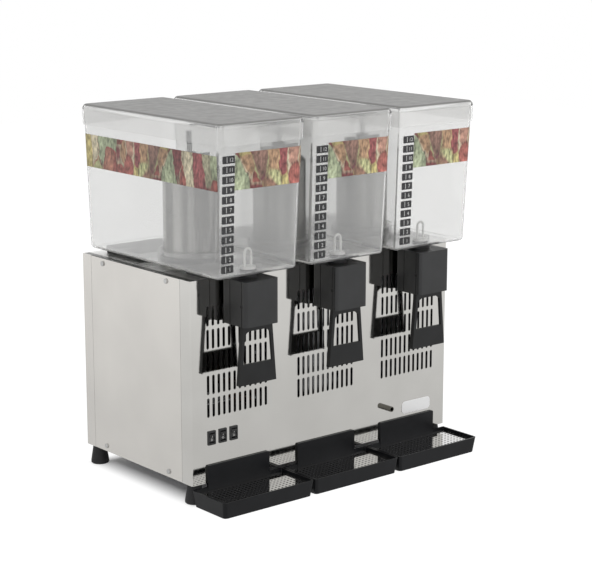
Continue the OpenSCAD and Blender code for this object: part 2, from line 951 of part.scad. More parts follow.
module bowl_seals() {
    color(rubber)
        for (i = [-1 : 1])
            at_station(i + 1) {
                translate([0, column_y, 0])
                    tube(seal_r, column_r, cabinet_top + column_flange_t, rest_h + bowl_floor_t);
                for (rest = [front_rest, rear_rest])
                    block(rest_w, rest[0], rest[1], cabinet_top, rest_h, 8);
            }
}

// Tapered body of a bowl, drawn in from its outer face and cut off at two heights
module bowl_body(inset, z0, z1) {
    hull() {
        for (a = [0, 45, 90]) {
            in_by = inset + bowl_round * (1 - sin(a));
            slice(bowl_floor_w - 2 * in_by, bowl_front + in_by, bowl_back - in_by,
                  max(bowl_corner - in_by, 1), z0 + bowl_round * (1 - cos(a)));
        }
        slice(mouth_w - 2 * inset, mouth_front + inset, mouth_back - inset, bowl_corner - inset, z1 - skin);
    }
}

module bowl() {
    color(clear) {
        difference() {
            bowl_body(0, bowl_z, rim_z);
            bowl_body(bowl_wall, bowl_floor_z, rim_z + through);
            translate([0, column_y, bowl_z - through])
                cylinder(r = collar_r, h = bowl_floor_t + 2 * through);
            translate([0, outlet_y, bowl_z - through])
                cylinder(r = outlet_r - outlet_wall, h = bowl_floor_t + 2 * through);
        }
        translate([0, column_y, 0])
            tube(collar_r + collar_t, collar_r, bowl_z, collar_h);
        difference() {
            translate([0, outlet_y, 0])
                tube(outlet_r, outlet_r - outlet_wall, outlet_z, bowl_z - outlet_z + 1);
            translate([-tongue_w / 2 - pass_gap, outlet_y - outlet_r - through, pivot_z - 6])
                cube([tongue_w + 2 * pass_gap, outlet_r + through, 18]);
        }
    }
}

// Cap of a lid with its skirt and a rounded upper edge
module lid_cap() {
    edge_z = lid_top - lid_edge;
    hull() {
        lid_room(0, skirt_z, edge_z);
        for (a = [30, 60, 90]) {
            in_by = lid_edge * (1 - cos(a));
            slice(lid_w - 2 * in_by, lid_front + in_by, lid_back - in_by,
                  max(lid_corner - in_by, 1), edge_z + lid_edge * sin(a) - skin);
        }
    }
}

// Straight shape of a lid between two heights, drawn in from its outer face
module lid_room(inset, z0, z1) {
    block(lid_w - 2 * inset, lid_front + inset, lid_back - inset, z0, z1 - z0, lid_corner - inset, $fn = hull_fn);
}

module lid() {
    color(smoke)
        difference() {
            lid_cap();
            lid_room(skirt_t, skirt_z - through, rim_z);
            lid_room(lid_out + bowl_wall, rim_z - through, lid_top - lid_t);
        }
}

// Taps

module tap_body() {
    color(black)
        difference() {
            union() {
                block(tap_w, tap_front, tap_rear, tap_z, tap_h, tap_corner);
                translate([0, outlet_y, tap_top])
                    cylinder(r = neck_r, h = bowl_z - tap_top);
            }
            block(tap_w - 2 * tap_wall, tap_front + tap_wall, tap_rear - tap_wall, tap_z - through,
                  tap_h - tap_roof + through, tap_corner - tap_wall);
            translate([0, outlet_y, tap_z])
                cylinder(r = outlet_r, h = tap_h + rest_h);
            translate([0, pivot_y, pivot_z])
                bar_x(pivot_dia / 2 + pin_play, -tap_w, tap_w);
        }
}

// Lever outline down to a height, drawn in from its slanting edges
module lever_outline(inset, low, high) {
    polygon([[-lever_half(low) + inset, low], [lever_half(low) - inset, low],
             [lever_half(high) - inset, high], [-lever_half(high) + inset, high]]);
}

function lever_half(z) = (lever_neck_w + (lever_w - lever_neck_w) * (tap_z - z) / lever_drop) / 2;

// Window of the lever: straight sides that lean with the lever, and round upper corners
module lever_window() {
    low = lever_z + lever_push_h;
    high = tap_z - lever_top_bar;
    corner = 13;
    intersection() {
        lever_outline(lever_bar_w, low, high);
        union() {
            translate([0, (low + high) / 2])
                rounded(lever_neck_w - 2 * lever_bar_w + 6, high - low, corner);
            translate([-lever_w / 2, low])
                square([lever_w, (high - low) / 2]);
        }
    }
}

module lever() {
    color(black) {
        upright_sheet(lever_y - lever_t / 2 + 2, lever_t)
            difference() {
                lever_outline(0, lever_z, tap_z);
                lever_window();
            }
        upright_sheet(lever_y - lever_t / 2 + 2, lever_edge_d)
            difference() {
                lever_outline(0, lever_z, tap_z);
                lever_outline(2.5, lever_z - through, tap_z + through);
            }
        for (x = [-lever_neck_w / 2, lever_neck_w / 2 - 8])
            translate([x, lever_y - lever_t / 2 + 2, tap_z - skin])
                cube([8, lever_t, pivot_h]);
        translate([0, pivot_y, pivot_z]) {
            bar_x(pivot_bar_r, -tap_w / 2 + tap_wall + pass_gap, tap_w / 2 - tap_wall - pass_gap);
            bar_x(pivot_dia / 2, -tap_w / 2 + 0.5, tap_w / 2 - 0.5);
        }
        translate([-tongue_w / 2, pivot_y, pivot_z - prong_t / 2])
            cube([tongue_w, tongue_end - pivot_y, prong_t]);
        for (x = [-prong_x - 4, prong_x])
            translate([x, pivot_y, pivot_z - prong_t / 2])
                cube([4, outlet_y - pivot_y + 6, prong_t]);
    }
}

module plunger() {
    color(white)
        translate([0, outlet_y, 0]) {
            difference() {
                translate([0, 0, pivot_z - 14])
                    cylinder(r = stem_r, h = head_z - pivot_z + 15);
                translate([-tongue_w / 2 - pass_gap, -stem_r - through, pivot_z - 8])
                    cube([tongue_w + 2 * pass_gap, 2 * (stem_r + through), 8 + prong_t / 2 + tongue_room]);
            }
            translate([0, 0, head_z])
                cylinder(d = plunger_dia, h = head_t);
            translate([0, 0, head_z + head_t - 1]) {
                for (sx = [-1, 1])
                    translate([sx * (loop_w - loop_bar) / 2, 0, 0])
                        cylinder(d = loop_bar, h = loop_h + 1 - loop_w / 2);
                translate([0, 0, loop_h + 1 - loop_w / 2])
                    rotate([90, 0, 0])
                        rotate_extrude(angle = 180)
                            translate([(loop_w - loop_bar) / 2, 0])
                                circle(d = loop_bar);
            }
        }
}

module plunger_seal() {
    color(rubber)
        translate([0, outlet_y, 0])
            tube(plunger_dia / 2, stem_r, bowl_floor_z, seal_disc_t);
}

module valve_spring() {
    color(aluminium)
        translate([0, outlet_y, 0])
            helix(spring_r, spring_wire / 2, pivot_z + prong_t / 2, tap_top - tap_roof, spring_turns);
}

// Drip trays

// Radius of the tray's two corners against the front panel
tray_back_corner = 2.5;

// Tapered shape of a tray, drawn in from its outer face, from a height to another
module tray_shape(inset, z0, z1) {
    half_d = tray_reach / 2;
    low_in = tray_draft + inset;
    hull() {
        slice(tray_w - 2 * low_in, -tray_reach + low_in, tray_back - half_d, tray_corner - inset / 2, z0);
        slice(tray_w - 2 * low_in, -half_d, tray_back - low_in, tray_back_corner - inset / 2, z0);
        slice(tray_w - 2 * inset, -tray_reach + inset, tray_back - half_d, tray_corner - inset / 2, z1 - skin);
        slice(tray_w - 2 * inset, -half_d, tray_back - inset, tray_back_corner - inset / 2, z1 - skin);
    }
}

post_w = 8;

module tray() {
    color(black) {
        difference() {
            tray_shape(0, 0, tray_h);
            tray_shape(tray_wall, tray_floor_t, tray_h + through);
        }
        translate([0, 0, tray_floor_t])
            upright_sheet(tray_back - upstand_t, upstand_t) {
                translate([-upstand_w / 2, 0])
                    square([upstand_w, upstand_z - tray_floor_t - 3]);
                translate([-upstand_w / 2 + 3, 0])
                    square([upstand_w - 6, upstand_z - tray_floor_t]);
                for (sx = [-1, 1])
                    translate([sx * (upstand_w / 2 - 3), upstand_z - tray_floor_t - 3])
                        circle(3);
            }
        for (sx = [-1, 1], y = [-tray_reach + 16, -22])
            translate([sx * (tray_w / 2 - 22) - post_w / 2, y, tray_floor_t - 0.5])
                cube([post_w, post_w, grid_z - tray_floor_t + 0.5]);
    }
}

module grid() {
    grid_w = tray_w - 2 * grid_edge;
    grid_front = -tray_reach + grid_edge;
    grid_back = tray_back - upstand_t - lift_gap;
    grid_d = grid_back - grid_front;
    nx = floor((grid_w - 2 * grid_hole_pitch / 2) / grid_hole_pitch);
    ny = floor((grid_d - 2 * grid_hole_pitch / 2) / grid_hole_pitch);
    color(steel)
        translate([0, (grid_front + grid_back) / 2, grid_z])
            linear_extrude(grid_t)
                difference() {
                    rounded(grid_w, grid_d, tray_corner - 2);
                    for (i = [0 : nx - 1], j = [0 : ny - 1])
                        translate([(i - (nx - 1) / 2) * grid_hole_pitch, (j - (ny - 1) / 2) * grid_hole_pitch])
                            circle(d = grid_hole_dia);
                }
}

// Assembly

in_row() base_pan();
in_row() front_panel();
in_row() rear_panel();
in_row() left_side_panel();
in_row() right_side_panel();
in_row() top_deck();
in_row() panel_screws();
in_row() rubber_feet();
in_row() foot_studs();
in_row() compressor();
in_row() condenser();
in_row() fan_motor();
in_row() fan_blade();
in_row() refrigerant_pipes();
in_row() evaporator_coils();
in_row() control_box();
in_row() switch_frames();
in_row() drain_stub();
in_row() mains_inlet();
in_row() stirrer_motors();
in_row() bowl_seals();
for (k = [0 : 2]) {
    in_row() rocker(k);
}
for (i = [0 : 2]) {
    side = SIDES[i];
    in_row() at_station(i) evaporator();
    in_row() at_station(i) drive_magnet();
    in_row() at_station(i) stirrer();
    in_row() at_station(i) bowl();
    in_row() at_station(i) lid();
    in_row() at_station(i) tap_body();
    in_row() at_station(i) lever();
    in_row() at_station(i) plunger();
    in_row() at_station(i) plunger_seal();
    in_row() at_station(i) valve_spring();
    in_row() at_station(i) tray();
    in_row() at_station(i) grid();
}
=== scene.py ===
import math

import bmesh
import bpy
from mathutils import Matrix, Vector


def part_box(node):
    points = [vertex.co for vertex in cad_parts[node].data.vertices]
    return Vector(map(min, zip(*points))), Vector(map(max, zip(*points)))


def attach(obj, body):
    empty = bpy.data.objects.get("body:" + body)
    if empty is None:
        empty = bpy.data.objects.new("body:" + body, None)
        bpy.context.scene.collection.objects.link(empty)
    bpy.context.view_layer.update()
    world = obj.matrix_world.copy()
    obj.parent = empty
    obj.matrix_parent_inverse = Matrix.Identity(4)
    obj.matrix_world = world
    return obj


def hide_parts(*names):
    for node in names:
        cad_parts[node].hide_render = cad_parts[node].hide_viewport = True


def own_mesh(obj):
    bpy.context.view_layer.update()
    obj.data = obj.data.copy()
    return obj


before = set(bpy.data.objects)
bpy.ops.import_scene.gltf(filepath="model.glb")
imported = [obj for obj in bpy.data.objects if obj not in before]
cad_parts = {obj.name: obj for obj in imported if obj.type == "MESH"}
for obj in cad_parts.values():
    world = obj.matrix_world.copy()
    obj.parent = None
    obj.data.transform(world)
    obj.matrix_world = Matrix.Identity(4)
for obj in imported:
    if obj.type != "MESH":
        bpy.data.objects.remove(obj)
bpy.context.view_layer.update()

# Studio
# The dispenser stands on a pale floor under soft light. The camera takes the
# photograph's place, a long lens above and to the left of the front.
panel_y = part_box("front_panel")[0].y
camera_place = (-1.8625, panel_y - 2.1683, 0.9421)
camera_turn = (math.radians(77.73), 0, math.radians(-39.67))
camera_lens = 106.68
clear_layers = 48
scene = bpy.context.scene
scene.view_settings.view_transform = "Standard"
scene.cycles.max_bounces = clear_layers
scene.cycles.transmission_bounces = clear_layers
scene.cycles.transparent_max_bounces = clear_layers
bpy.ops.object.select_all(action="DESELECT")
bpy.ops.object.camera_add(location=camera_place, rotation=camera_turn)
scene.camera = bpy.context.object
scene.camera.data.lens = camera_lens


def add_node(tree, kind, **values):
    """Adds a node and sets its plain properties, or its sockets where a name is one of them."""
    node = tree.nodes.new("ShaderNode" + kind)
    for name, value in values.items():
        if hasattr(node, name):
            setattr(node, name, value)
        else:
            node.inputs[name.replace("_", " ")].default_value = value
    return node


def seen_by(tree, *rays):
    """Gives a socket that is 1 for the kinds of ray that are named."""
    path = add_node(tree, "LightPath")
    shown = path.outputs[rays[0]]
    for ray in rays[1:]:
        either = add_node(tree, "Math", operation="MAXIMUM")
        tree.links.new(shown, either.inputs[0])
        tree.links.new(path.outputs[ray], either.inputs[1])
        shown = either.outputs[0]
    return shown


room = bpy.data.worlds.new("white_room")
scene.world = room
room.use_nodes = True
room_tree = room.node_tree
room_tree.nodes.clear()
soft_light = add_node(room_tree, "Background", Color=(1, 1, 1, 1), Strength=0.62)
white_wall = add_node(room_tree, "Background", Color=(1, 1, 1, 1), Strength=1.0)
either_wall = add_node(room_tree, "MixShader")
room_out = add_node(room_tree, "OutputWorld")
room_rays = seen_by(room_tree, "Is Camera Ray", "Is Glossy Ray", "Is Transmission Ray")
room_tree.links.new(room_rays, either_wall.inputs[0])
room_tree.links.new(soft_light.outputs[0], either_wall.inputs[1])
room_tree.links.new(white_wall.outputs[0], either_wall.inputs[2])
room_tree.links.new(either_wall.outputs[0], room_out.inputs["Surface"])

floor_size, floor_drop = 9, 0.0006
bpy.ops.mesh.primitive_plane_add(size=floor_size, location=(0, 0, -floor_drop))
floor = bpy.context.object
floor.name = "pale_floor"
bpy.ops.object.transform_apply(location=True, rotation=True, scale=True)
paper = bpy.data.materials.new("pale_paper")
paper.use_nodes = True
paper_tree = paper.node_tree
paper_tree.nodes.clear()
paper_matt = add_node(paper_tree, "BsdfDiffuse", Color=(0.92, 0.92, 0.92, 1))
paper_white = add_node(paper_tree, "Emission", Color=(1, 1, 1, 1), Strength=1.2)
# Seen in reflections, the paper glows dimmer near the cabinet than far off: painted shade for the floor
# round the cabinet.
paper_mirrored = add_node(paper_tree, "Emission", Color=(1, 1, 1, 1))
paper_place = add_node(paper_tree, "TexCoord")
paper_reach = add_node(paper_tree, "VectorMath", operation="LENGTH")
paper_mirrored_shade = add_node(paper_tree, "MapRange", From_Min=0.4, From_Max=1.8, To_Min=0.78, To_Max=1.0)
paper_tree.links.new(paper_place.outputs["Object"], paper_reach.inputs[0])
paper_tree.links.new(paper_reach.outputs["Value"], paper_mirrored_shade.inputs["Value"])
paper_tree.links.new(paper_mirrored_shade.outputs[0], paper_mirrored.inputs["Strength"])
# The paper doesn't glow under the cabinet, so the gap below the front sheet stays dark.
under_half = Vector((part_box("base_pan")[1].x, (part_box("rear_panel")[1].y - panel_y) / 2))
paper_spot = add_node(paper_tree, "VectorMath", operation="MULTIPLY_ADD")
paper_spot.inputs[1].default_value = (1 / under_half.x, 1 / under_half.y, 0)
paper_spot.inputs[2].default_value = (0, -1 - panel_y / under_half.y, 0)
paper_near = add_node(paper_tree, "VectorMath", operation="ABSOLUTE")
paper_sides = add_node(paper_tree, "SeparateXYZ")
paper_far = add_node(paper_tree, "Math", operation="MAXIMUM")
paper_clear = add_node(paper_tree, "MapRange", From_Min=0.86, From_Max=1.04)
paper_tree.links.new(paper_place.outputs["Object"], paper_spot.inputs[0])
paper_tree.links.new(paper_spot.outputs[0], paper_near.inputs[0])
paper_tree.links.new(paper_near.outputs[0], paper_sides.inputs[0])
paper_tree.links.new(paper_sides.outputs["X"], paper_far.inputs[0])
paper_tree.links.new(paper_sides.outputs["Y"], paper_far.inputs[1])
paper_tree.links.new(paper_far.outputs[0], paper_clear.inputs["Value"])
paper_out = add_node(paper_tree, "OutputMaterial")
paper_top = paper_matt.outputs[0]
for paper_rays, paper_glow, glow_share in (
    (("Is Camera Ray", "Is Transmission Ray"), paper_white, 0.74),
    (("Is Glossy Ray",), paper_mirrored, 0.90),
):
    paper_share = add_node(paper_tree, "Math", operation="MULTIPLY")
    paper_share.inputs[1].default_value = glow_share
    paper_mix = add_node(paper_tree, "MixShader")
    paper_lit = add_node(paper_tree, "Math", operation="MULTIPLY")
    paper_tree.links.new(seen_by(paper_tree, *paper_rays), paper_share.inputs[0])
    paper_tree.links.new(paper_share.outputs[0], paper_lit.inputs[0])
    paper_tree.links.new(paper_clear.outputs[0], paper_lit.inputs[1])
    paper_tree.links.new(paper_lit.outputs[0], paper_mix.inputs[0])
    paper_tree.links.new(paper_top, paper_mix.inputs[1])
    paper_tree.links.new(paper_glow.outputs[0], paper_mix.inputs[2])
    paper_top = paper_mix.outputs[0]
paper_tree.links.new(paper_top, paper_out.inputs["Surface"])
floor.data.materials.append(paper)

lamp_aim = Vector((0, 0, 0.3))
for lamp_name, place, size, watts in (
    ("top_softbox", (-0.4, -0.6, 2.6), 2.4, 34),
    ("front_softbox", (0.9, -2.6, 1.6), 1.8, 22),
):
    lamp_turn = (lamp_aim - Vector(place)).to_track_quat("-Z", "Y").to_euler()
    bpy.ops.object.light_add(type="AREA", radius=1, location=place, rotation=lamp_turn)
    lamp = bpy.context.object
    lamp.name = lamp_name
    lamp.data.size = size
    lamp.data.energy = watts
    lamp.visible_glossy = False

# Cabinet sheets
# Folded stainless sheet, 1.5 mm thick. The front wraps round both corners and is polished like a
# mirror, the satin side panels are screwed in between, and the deck and base pan close the box.
cabinet_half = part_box("front_panel")[1].x
front_corner = 0.0022
footprint_half, footprint_fade = 0.079, 0.003
# Where most of a noise lies, how straight an edge or face runs, and how close counts as there
noise_low, noise_high = 0.3, 0.7
mostly = 0.9
near = 0.0003


def open_finish(name):
    """Starts a material with one shader and the object's own coordinates."""
    finish = bpy.data.materials.new(name)
    finish.use_nodes = True
    tree = finish.node_tree
    shader = tree.nodes["Principled BSDF"]
    place = add_node(tree, "TexCoord").outputs["Object"]
    return finish, tree, shader, place


def mottle(tree, place, scale, detail=3.0, stretch=(1, 1, 1)):
    """Gives a soft noise, drawn out along an axis where stretch is small."""
    turn = add_node(tree, "Mapping", Scale=stretch)
    noise = add_node(tree, "TexNoise", Scale=scale, Detail=detail)
    tree.links.new(place, turn.inputs["Vector"])
    tree.links.new(turn.outputs[0], noise.inputs["Vector"])
    return noise.outputs["Fac"]


def spread(tree, source, low, high):
    """Turns a noise into a value between low and high."""
    span = add_node(tree, "MapRange", From_Min=noise_low, From_Max=noise_high, To_Min=low, To_Max=high)
    tree.links.new(source, span.inputs["Value"])
    return span.outputs["Result"]


def tint(tree, source, low, high):
    """Turns a noise into a colour between two others."""
    ramp = add_node(tree, "ValToRGB")
    for stop, position, shade in zip(ramp.color_ramp.elements, (noise_low, noise_high), (low, high)):
        stop.position = position
        stop.color = (*shade, 1)
    tree.links.new(source, ramp.inputs[0])
    return ramp.outputs["Color"]


def relief(tree, shader, source, height, strength):
    """Raises a fine texture on the surface."""
    bump = add_node(tree, "Bump", Distance=height, Strength=strength)
    tree.links.new(source, bump.inputs["Height"])
    tree.links.new(bump.outputs[0], shader.inputs["Normal"])


def worked_metal(name, low, high, rough, grain, stretch, height, cloud=(7.0, 3.0, (1, 1, 1))):
    """Bare metal with faint working marks drawn out along one axis, and clouded in its colour."""
    finish, tree, shader, place = open_finish(name)
    shader.inputs["Metallic"].default_value = 1.0
    marks = mottle(tree, place, grain, detail=4.0, stretch=stretch)
    tree.links.new(tint(tree, mottle(tree, place, *cloud), low, high), shader.inputs["Base Color"])
    tree.links.new(spread(tree, marks, *rough), shader.inputs["Roughness"])
    relief(tree, shader, marks, height, strength=0.25)
    return finish


def darken_past(finish, axis, start, fade, share, fold=None):
    """Darkens a finish past a place along an axis, which may be folded so that the shade repeats."""
    tree = finish.node_tree
    colour = tree.nodes["Principled BSDF"].inputs["Base Color"]
    place = add_node(tree, "SeparateXYZ")
    tree.links.new(add_node(tree, "TexCoord").outputs["Object"], place.inputs[0])
    reach = place.outputs[axis]
    if fold:
        folded = add_node(tree, "Math", operation="PINGPONG")
        folded.inputs[1].default_value = fold
        tree.links.new(reach, folded.inputs[0])
        reach = folded.outputs[0]
    level = add_node(tree, "MapRange", From_Min=start, From_Max=start + fade, To_Min=1.0, To_Max=share)
    shade = add_node(tree, "VectorMath", operation="SCALE")
    tree.links.new(reach, level.inputs["Value"])
    tree.links.new(colour.links[0].from_socket, shade.inputs[0])
    tree.links.new(level.outputs[0], shade.inputs["Scale"])
    tree.links.new(shade.outputs[0], colour)


def middle_x(node):
    """Gives the middle of a CAD node across the row."""
    low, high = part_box(node)
    return low.lerp(high, 0.5).x


def dress(finish, *nodes):
    """Gives CAD nodes a finish."""
    for node in nodes:
        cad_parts[node].data.materials.clear()
        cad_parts[node].data.materials.append(finish)


def choose(kind, rule):
    """Selects in edit mode only what the rule takes, from its middle and its direction."""
    piece = bpy.context.object
    bpy.ops.mesh.select_mode(type=kind)
    bpy.ops.mesh.select_all(action="DESELECT")
    mesh = bmesh.from_edit_mesh(piece.data)
    if kind == "FACE":
        for face in mesh.faces:
            face.select_set(bool(rule(face.calc_center_median(), face.normal)))
    elif kind == "EDGE":
        for edge in mesh.edges:
            start, end = edge.verts[0].co, edge.verts[1].co
            edge.select_set(bool(rule((start + end) / 2, (end - start).normalized())))
    else:
        for vert in mesh.verts:
            vert.select_set(bool(rule(vert.co, vert.normal)))
    mesh.select_flush_mode()
    bmesh.update_edit_mesh(piece.data)


def take_copy(node, name):
    """Copies a CAD node as one closed mesh of flat faces, in edit mode."""
    bpy.ops.object.select_all(action="DESELECT")
    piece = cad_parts[node].copy()
    piece.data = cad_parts[node].data.copy()
    piece.name = name
    piece.parent = None
    for tag in [key for key in piece.keys() if key.startswith("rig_")]:
        del piece[tag]
    scene.collection.objects.link(piece)
    piece.data.materials.clear()
    piece.select_set(True)
    bpy.context.view_layer.objects.active = piece
    if piece.data.has_custom_normals:
        bpy.ops.mesh.customdata_custom_splitnormals_clear()
    bpy.ops.object.mode_set(mode="EDIT")
    bpy.ops.mesh.select_all(action="SELECT")
    bpy.ops.mesh.remove_doubles(threshold=0.000004)
    bpy.ops.mesh.dissolve_limited(angle_limit=math.radians(0.4))
    return piece


def close_piece(piece, finish, body, slot, *nodes):
    """Leaves edit mode, smooths, gives the piece its finish and its body, and hides the CAD nodes it stands
    in for.
    """
    if piece.mode == "EDIT":
        bpy.ops.object.mode_set(mode="OBJECT")
    bpy.ops.object.select_all(action="DESELECT")
    piece.select_set(True)
    bpy.context.view_layer.objects.active = piece
    bpy.ops.object.shade_smooth_by_angle(angle=math.radians(32))
    even = piece.modifiers.new("even_shading", "WEIGHTED_NORMAL")
    even.keep_sharp = True
    bpy.ops.object.modifier_apply(modifier=even.name)
    piece.data.materials.clear()
    piece.data.materials.append(finish)
    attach(piece, body)
    if nodes:
        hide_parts(*nodes)


polished_steel = worked_metal(
    "polished_steel", (0.56, 0.55, 0.525), (0.62, 0.61, 0.585),
    rough=(0.045, 0.085), grain=260, stretch=(1, 1, 0.06), height=0.00002,
)
zinc_sheet = worked_metal(
    "zinc_sheet", (0.30, 0.30, 0.31), (0.46, 0.46, 0.47),
    rough=(0.34, 0.52), grain=90, stretch=(1, 1, 1), height=0.00008,
)
satin_steel = worked_metal(
    "satin_steel", (0.645, 0.625, 0.595), (0.705, 0.685, 0.65),
    rough=(0.16, 0.24), grain=260, stretch=(1, 1, 0.06), height=0.00002,
)
deck_steel = worked_metal(
    "deck_steel", (0.74, 0.735, 0.72), (0.80, 0.795, 0.78),
    rough=(0.24, 0.38), grain=160, stretch=(0.1, 1, 1), height=0.00003,
)
# The deck is painted dark outside the bowls' footprints, beside and between the bowls: painted shade from
# the bowls.
darken_past(deck_steel, "X", footprint_half, footprint_fade, share=0.19, fold=middle_x("bowl_right") / 2)
dress(satin_steel, "left_side_panel", "right_side_panel", "rear_panel")
dress(deck_steel, "top_deck")
dress(zinc_sheet, "base_pan")
front = take_copy("front_panel", "front_sheet")
choose(
    "EDGE",
    lambda mid, way: abs(way.z) > mostly
    and abs(abs(mid.x) - cabinet_half) < near
    and mid.y < panel_y + near,
)
bpy.ops.mesh.bevel(offset=front_corner, segments=4, profile=0.5, affect="EDGES")
close_piece(front, polished_steel, "cabinet", "polished_steel", "front_panel")

# Panel screws
# Zinc plated pan head screws, four through each side panel. Their rounded heads stand proud of the
# satin sheet near its corners.
head_step, head_round = 0.0010, 0.0008
bright_zinc = worked_metal(
    "bright_zinc", (0.42, 0.42, 0.42), (0.56, 0.56, 0.55),
    rough=(0.22, 0.38), grain=180, stretch=(1, 1, 1), height=0.00005,
)
screws = take_copy("panel_screws", "panel_screw_heads")
choose("EDGE", lambda mid, way: abs(mid.x) > cabinet_half + head_step)
bpy.ops.mesh.bevel(offset=head_round, segments=3, profile=0.6, affect="EDGES")
close_piece(screws, bright_zinc, "cabinet", "zinc_screw", "panel_screws")

# Feet
# Conical black rubber feet, moulded round a threaded steel stud. The stud goes up through the base
# pan and a nut holds it there.


def moulded_rubber(name, low, high):
    """Matt rubber with a dusty, slightly pitted skin."""
    finish, tree, shader, place = open_finish(name)
    pits = mottle(tree, place, scale=900, detail=2.0)
    dust = mottle(tree, place, scale=45)
    tree.links.new(tint(tree, dust, low, high), shader.inputs["Base Color"])
    tree.links.new(spread(tree, pits, low=0.62, high=0.82), shader.inputs["Roughness"])
    relief(tree, shader, pits, height=0.0001, strength=0.3)
    return finish


black_rubber = moulded_rubber("black_rubber", (0.007, 0.007, 0.008), (0.016, 0.016, 0.017))
feet = take_copy("rubber_feet", "moulded_feet")
close_piece(feet, black_rubber, "cabinet", "rubber", "rubber_feet")
dress(bright_zinc, "foot_studs")

# Cooling machinery
# Enamelled compressor, finned condenser with its fan, copper pipework and the motors of the
# stirrers. It all stands on the base pan or hangs in the cabinet, behind the vent slots.


def painted_metal(name, low, high, rough):
    """Gloss paint with a little orange peel."""
    finish, tree, shader, place = open_finish(name)
    peel = mottle(tree, place, scale=320, detail=2.0)
    cloud = mottle(tree, place, scale=20)
    tree.links.new(tint(tree, cloud, low, high), shader.inputs["Base Color"])
    tree.links.new(spread(tree, peel, low=rough * 0.8, high=rough * 1.3), shader.inputs["Roughness"])
    relief(tree, shader, peel, height=0.0001, strength=0.2)
    return finish


black_enamel = painted_metal("black_enamel", (0.012, 0.012, 0.013), (0.020, 0.020, 0.022), rough=0.22)
fin_metal = worked_metal(
    "fin_metal", (0.50, 0.51, 0.52), (0.64, 0.65, 0.66),
    rough=(0.28, 0.42), grain=140, stretch=(1, 1, 0.2), height=0.00005,
)
copper_tube = worked_metal(
    "copper_tube", (0.22, 0.09, 0.05), (0.32, 0.14, 0.08),
    rough=(0.20, 0.40), grain=120, stretch=(1, 1, 1), height=0.00006,
)
dress(black_enamel, "compressor")
dress(fin_metal, "condenser", "fan_blade")
dress(zinc_sheet, "fan_motor", "control_box", "stirrer_motors")
dress(copper_tube, "refrigerant_pipes", "evaporator_coils")

# Switches, drain and mains inlet
# Three black rocker switches snap into the front sheet, with plain marks printed on the keys.
# A steel drain stub comes out low at the right, and the mains inlet sits low at the back.
mark_lift = 0.00005
bar_size = (0.0007, 0.0002, 0.0034)
ring_radius, ring_line, ring_flat = 0.0015, 0.0003, 0.4
pad_facing = 0.8


def moulded_plastic(name, low, high, rough, grain=700):
    """Satin moulding with a fine spark-eroded grain and a few rubbed patches."""
    finish, tree, shader, place = open_finish(name)
    skin = mottle(tree, place, grain)
    cloud = mottle(tree, place, scale=26)
    rubbed = mottle(tree, place, scale=60)
    tree.links.new(tint(tree, cloud, low, high), shader.inputs["Base Color"])
    tree.links.new(spread(tree, rubbed, low=rough * 0.88, high=rough * 1.15), shader.inputs["Roughness"])
    relief(tree, shader, skin, height=0.00008, strength=0.25)
    return finish


def round_edges(turn, offset, segments=2):
    """Rounds every edge of the piece in edit mode that turns by more than an angle."""
    bpy.ops.mesh.select_mode(type="EDGE")
    bpy.ops.mesh.select_all(action="DESELECT")
    bpy.ops.mesh.edges_select_sharp(sharpness=math.radians(turn))
    bpy.ops.mesh.bevel(offset=offset, segments=segments, profile=0.5, affect="EDGES", clamp_overlap=True)


black_plastic = moulded_plastic(
    "black_plastic", (0.009, 0.0094, 0.0098), (0.0145, 0.015, 0.0158), rough=0.36
)
key_plastic = moulded_plastic("key_plastic", (0.008, 0.008, 0.008), (0.013, 0.013, 0.013), rough=0.26)
mark_paint = painted_metal("mark_paint", (0.50, 0.50, 0.49), (0.60, 0.60, 0.58), rough=0.45)
bezels = take_copy("switch_frames", "switch_bezels")
round_edges(turn=50, offset=0.0004)
close_piece(bezels, black_plastic, "cabinet", "black_plastic", "switch_frames")
for key_number in (1, 2, 3):
    rocker = take_copy(f"rocker_{key_number}", f"rocker_key_{key_number}")
    round_edges(turn=40, offset=0.0003)
    close_piece(rocker, key_plastic, f"rocker_{key_number}", "black_plastic", f"rocker_{key_number}")
    fronts = [face for face in rocker.data.polygons if face.normal.y < -pad_facing]
    pads = sorted(fronts, key=lambda face: -face.area)[:2]
    middle_z = (pads[0].center.z + pads[1].center.z) / 2
    for pad in pads:
        tilt = math.atan2(-pad.normal.z, -pad.normal.y)
        spot = pad.center + pad.normal * mark_lift
        bpy.ops.object.select_all(action="DESELECT")
        if pad.center.z > middle_z:
            bpy.ops.mesh.primitive_cube_add(size=1, location=spot, rotation=(tilt, 0, 0))
            mark = bpy.context.object
            mark.name = f"on_mark_{key_number}"
            mark.scale = bar_size
        else:
            bpy.ops.mesh.primitive_torus_add(
                location=spot, rotation=(tilt + math.radians(90), 0, 0),
                major_segments=24, minor_segments=6, major_radius=ring_radius, minor_radius=ring_line,
            )
            mark = bpy.context.object
            mark.name = f"off_mark_{key_number}"
            mark.scale = (1, 1, ring_flat)
        bpy.ops.object.transform_apply(location=True, rotation=True, scale=True)
        bpy.ops.object.mode_set(mode="EDIT")
        round_edges(turn=60, offset=0.00006)
        close_piece(mark, mark_paint, f"rocker_{key_number}", "white_plastic")
dull_pipe = worked_metal(
    "dull_pipe", (0.115, 0.110, 0.096), (0.19, 0.183, 0.161),
    rough=(0.30, 0.46), grain=150, stretch=(1, 0.2, 1), height=0.00005,
)
stub = take_copy("drain_stub", "drain_pipe")
round_edges(turn=50, offset=0.0003)
close_piece(stub, dull_pipe, "cabinet", "polished_steel", "drain_stub")
inlet = take_copy("mains_inlet", "mains_socket")
round_edges(turn=50, offset=0.0004)
close_piece(inlet, black_plastic, "cabinet", "black_plastic", "mains_inlet")

